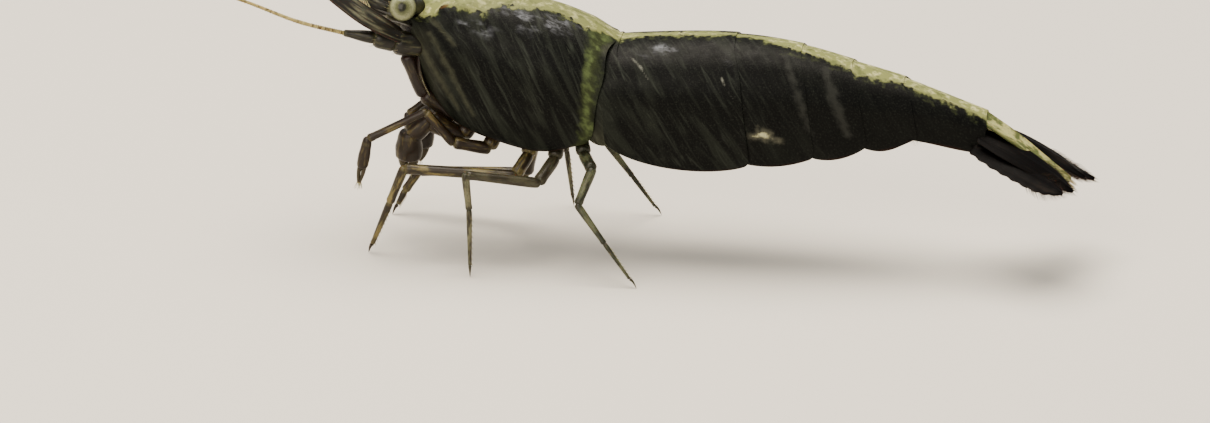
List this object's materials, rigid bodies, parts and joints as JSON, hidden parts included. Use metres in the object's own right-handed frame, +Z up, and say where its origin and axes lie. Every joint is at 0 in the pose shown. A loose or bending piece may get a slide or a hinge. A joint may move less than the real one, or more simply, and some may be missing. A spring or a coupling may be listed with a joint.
{
  "type": "dwarf aquarium shrimp",
  "caption": "Black dwarf shrimp with a pale back stripe, standing on its walking legs with feelers forward; a still, life-size display model.",
  "frame": {"origin": "on the floor, under the middle of the whole model's bounding box", "axes": "+X towards the tail, +Y towards the shrimp's right side, +Z up"},
  "size_m": [0.0406, 0.0222, 0.0145],
  "materials": {
    "black_shell": "satin, near-black with fine pale grey-green streaks and a yellow-green back stripe",
    "pale_stripe": "satin, pale yellow-green with dark edges",
    "eye": "smooth, pale grey-green with a dark centre",
    "limb": "satin, dark olive-brown with translucent paler parts",
    "feeler": "satin, thin, olive-tan",
    "underside": "satin, translucent olive"
  },
  "bodies": {
    "root": {"abdomen_segment_1": "black_shell", "abdomen_segment_2": "black_shell", "abdomen_segment_3": "black_shell", "abdomen_segment_4": "black_shell", "abdomen_segment_5": "black_shell", "abdomen_segment_6": "black_shell", "antenna_base_left": "limb", "antenna_base_right": "limb", "antenna_flagellum_far_left": "feeler", "antenna_flagellum_far_right": "feeler", "antenna_flagellum_near_left": "feeler", "antenna_flagellum_near_right": "feeler", "antennal_scale_left": "black_shell", "antennal_scale_right": "black_shell", "antennule_flagellum_inner_left": "feeler", "antennule_flagellum_inner_right": "feeler", "antennule_flagellum_outer_left": "feeler", "antennule_flagellum_outer_right": "feeler", "antennule_left": "limb", "antennule_right": "limb", "carapace": "black_shell", "eye_left": "eye", "eye_right": "eye", "eyestalk_left": "underside", "eyestalk_right": "underside", "leg_1_left": "limb", "leg_1_right": "limb", "leg_2_left": "limb", "leg_2_right": "limb", "leg_3_left": "limb", "leg_3_right": "limb", "leg_4_left": "limb", "leg_4_right": "limb", "leg_5_left": "limb", "leg_5_right": "limb", "maxilliped_left": "limb", "maxilliped_right": "limb", "mouthparts": "limb", "pleopod_1_left": "underside", "pleopod_1_right": "underside", "pleopod_2_left": "underside", "pleopod_2_right": "underside", "pleopod_3_left": "underside", "pleopod_3_right": "underside", "pleopod_4_left": "underside", "pleopod_4_right": "underside", "pleopod_5_left": "underside", "pleopod_5_right": "underside", "rostrum": "black_shell", "telson": "pale_stripe", "thorax_underside": "underside", "uropod_inner_left": "black_shell", "uropod_inner_right": "black_shell", "uropod_outer_left": "black_shell", "uropod_outer_right": "black_shell"}
  },
  "joints": []
}
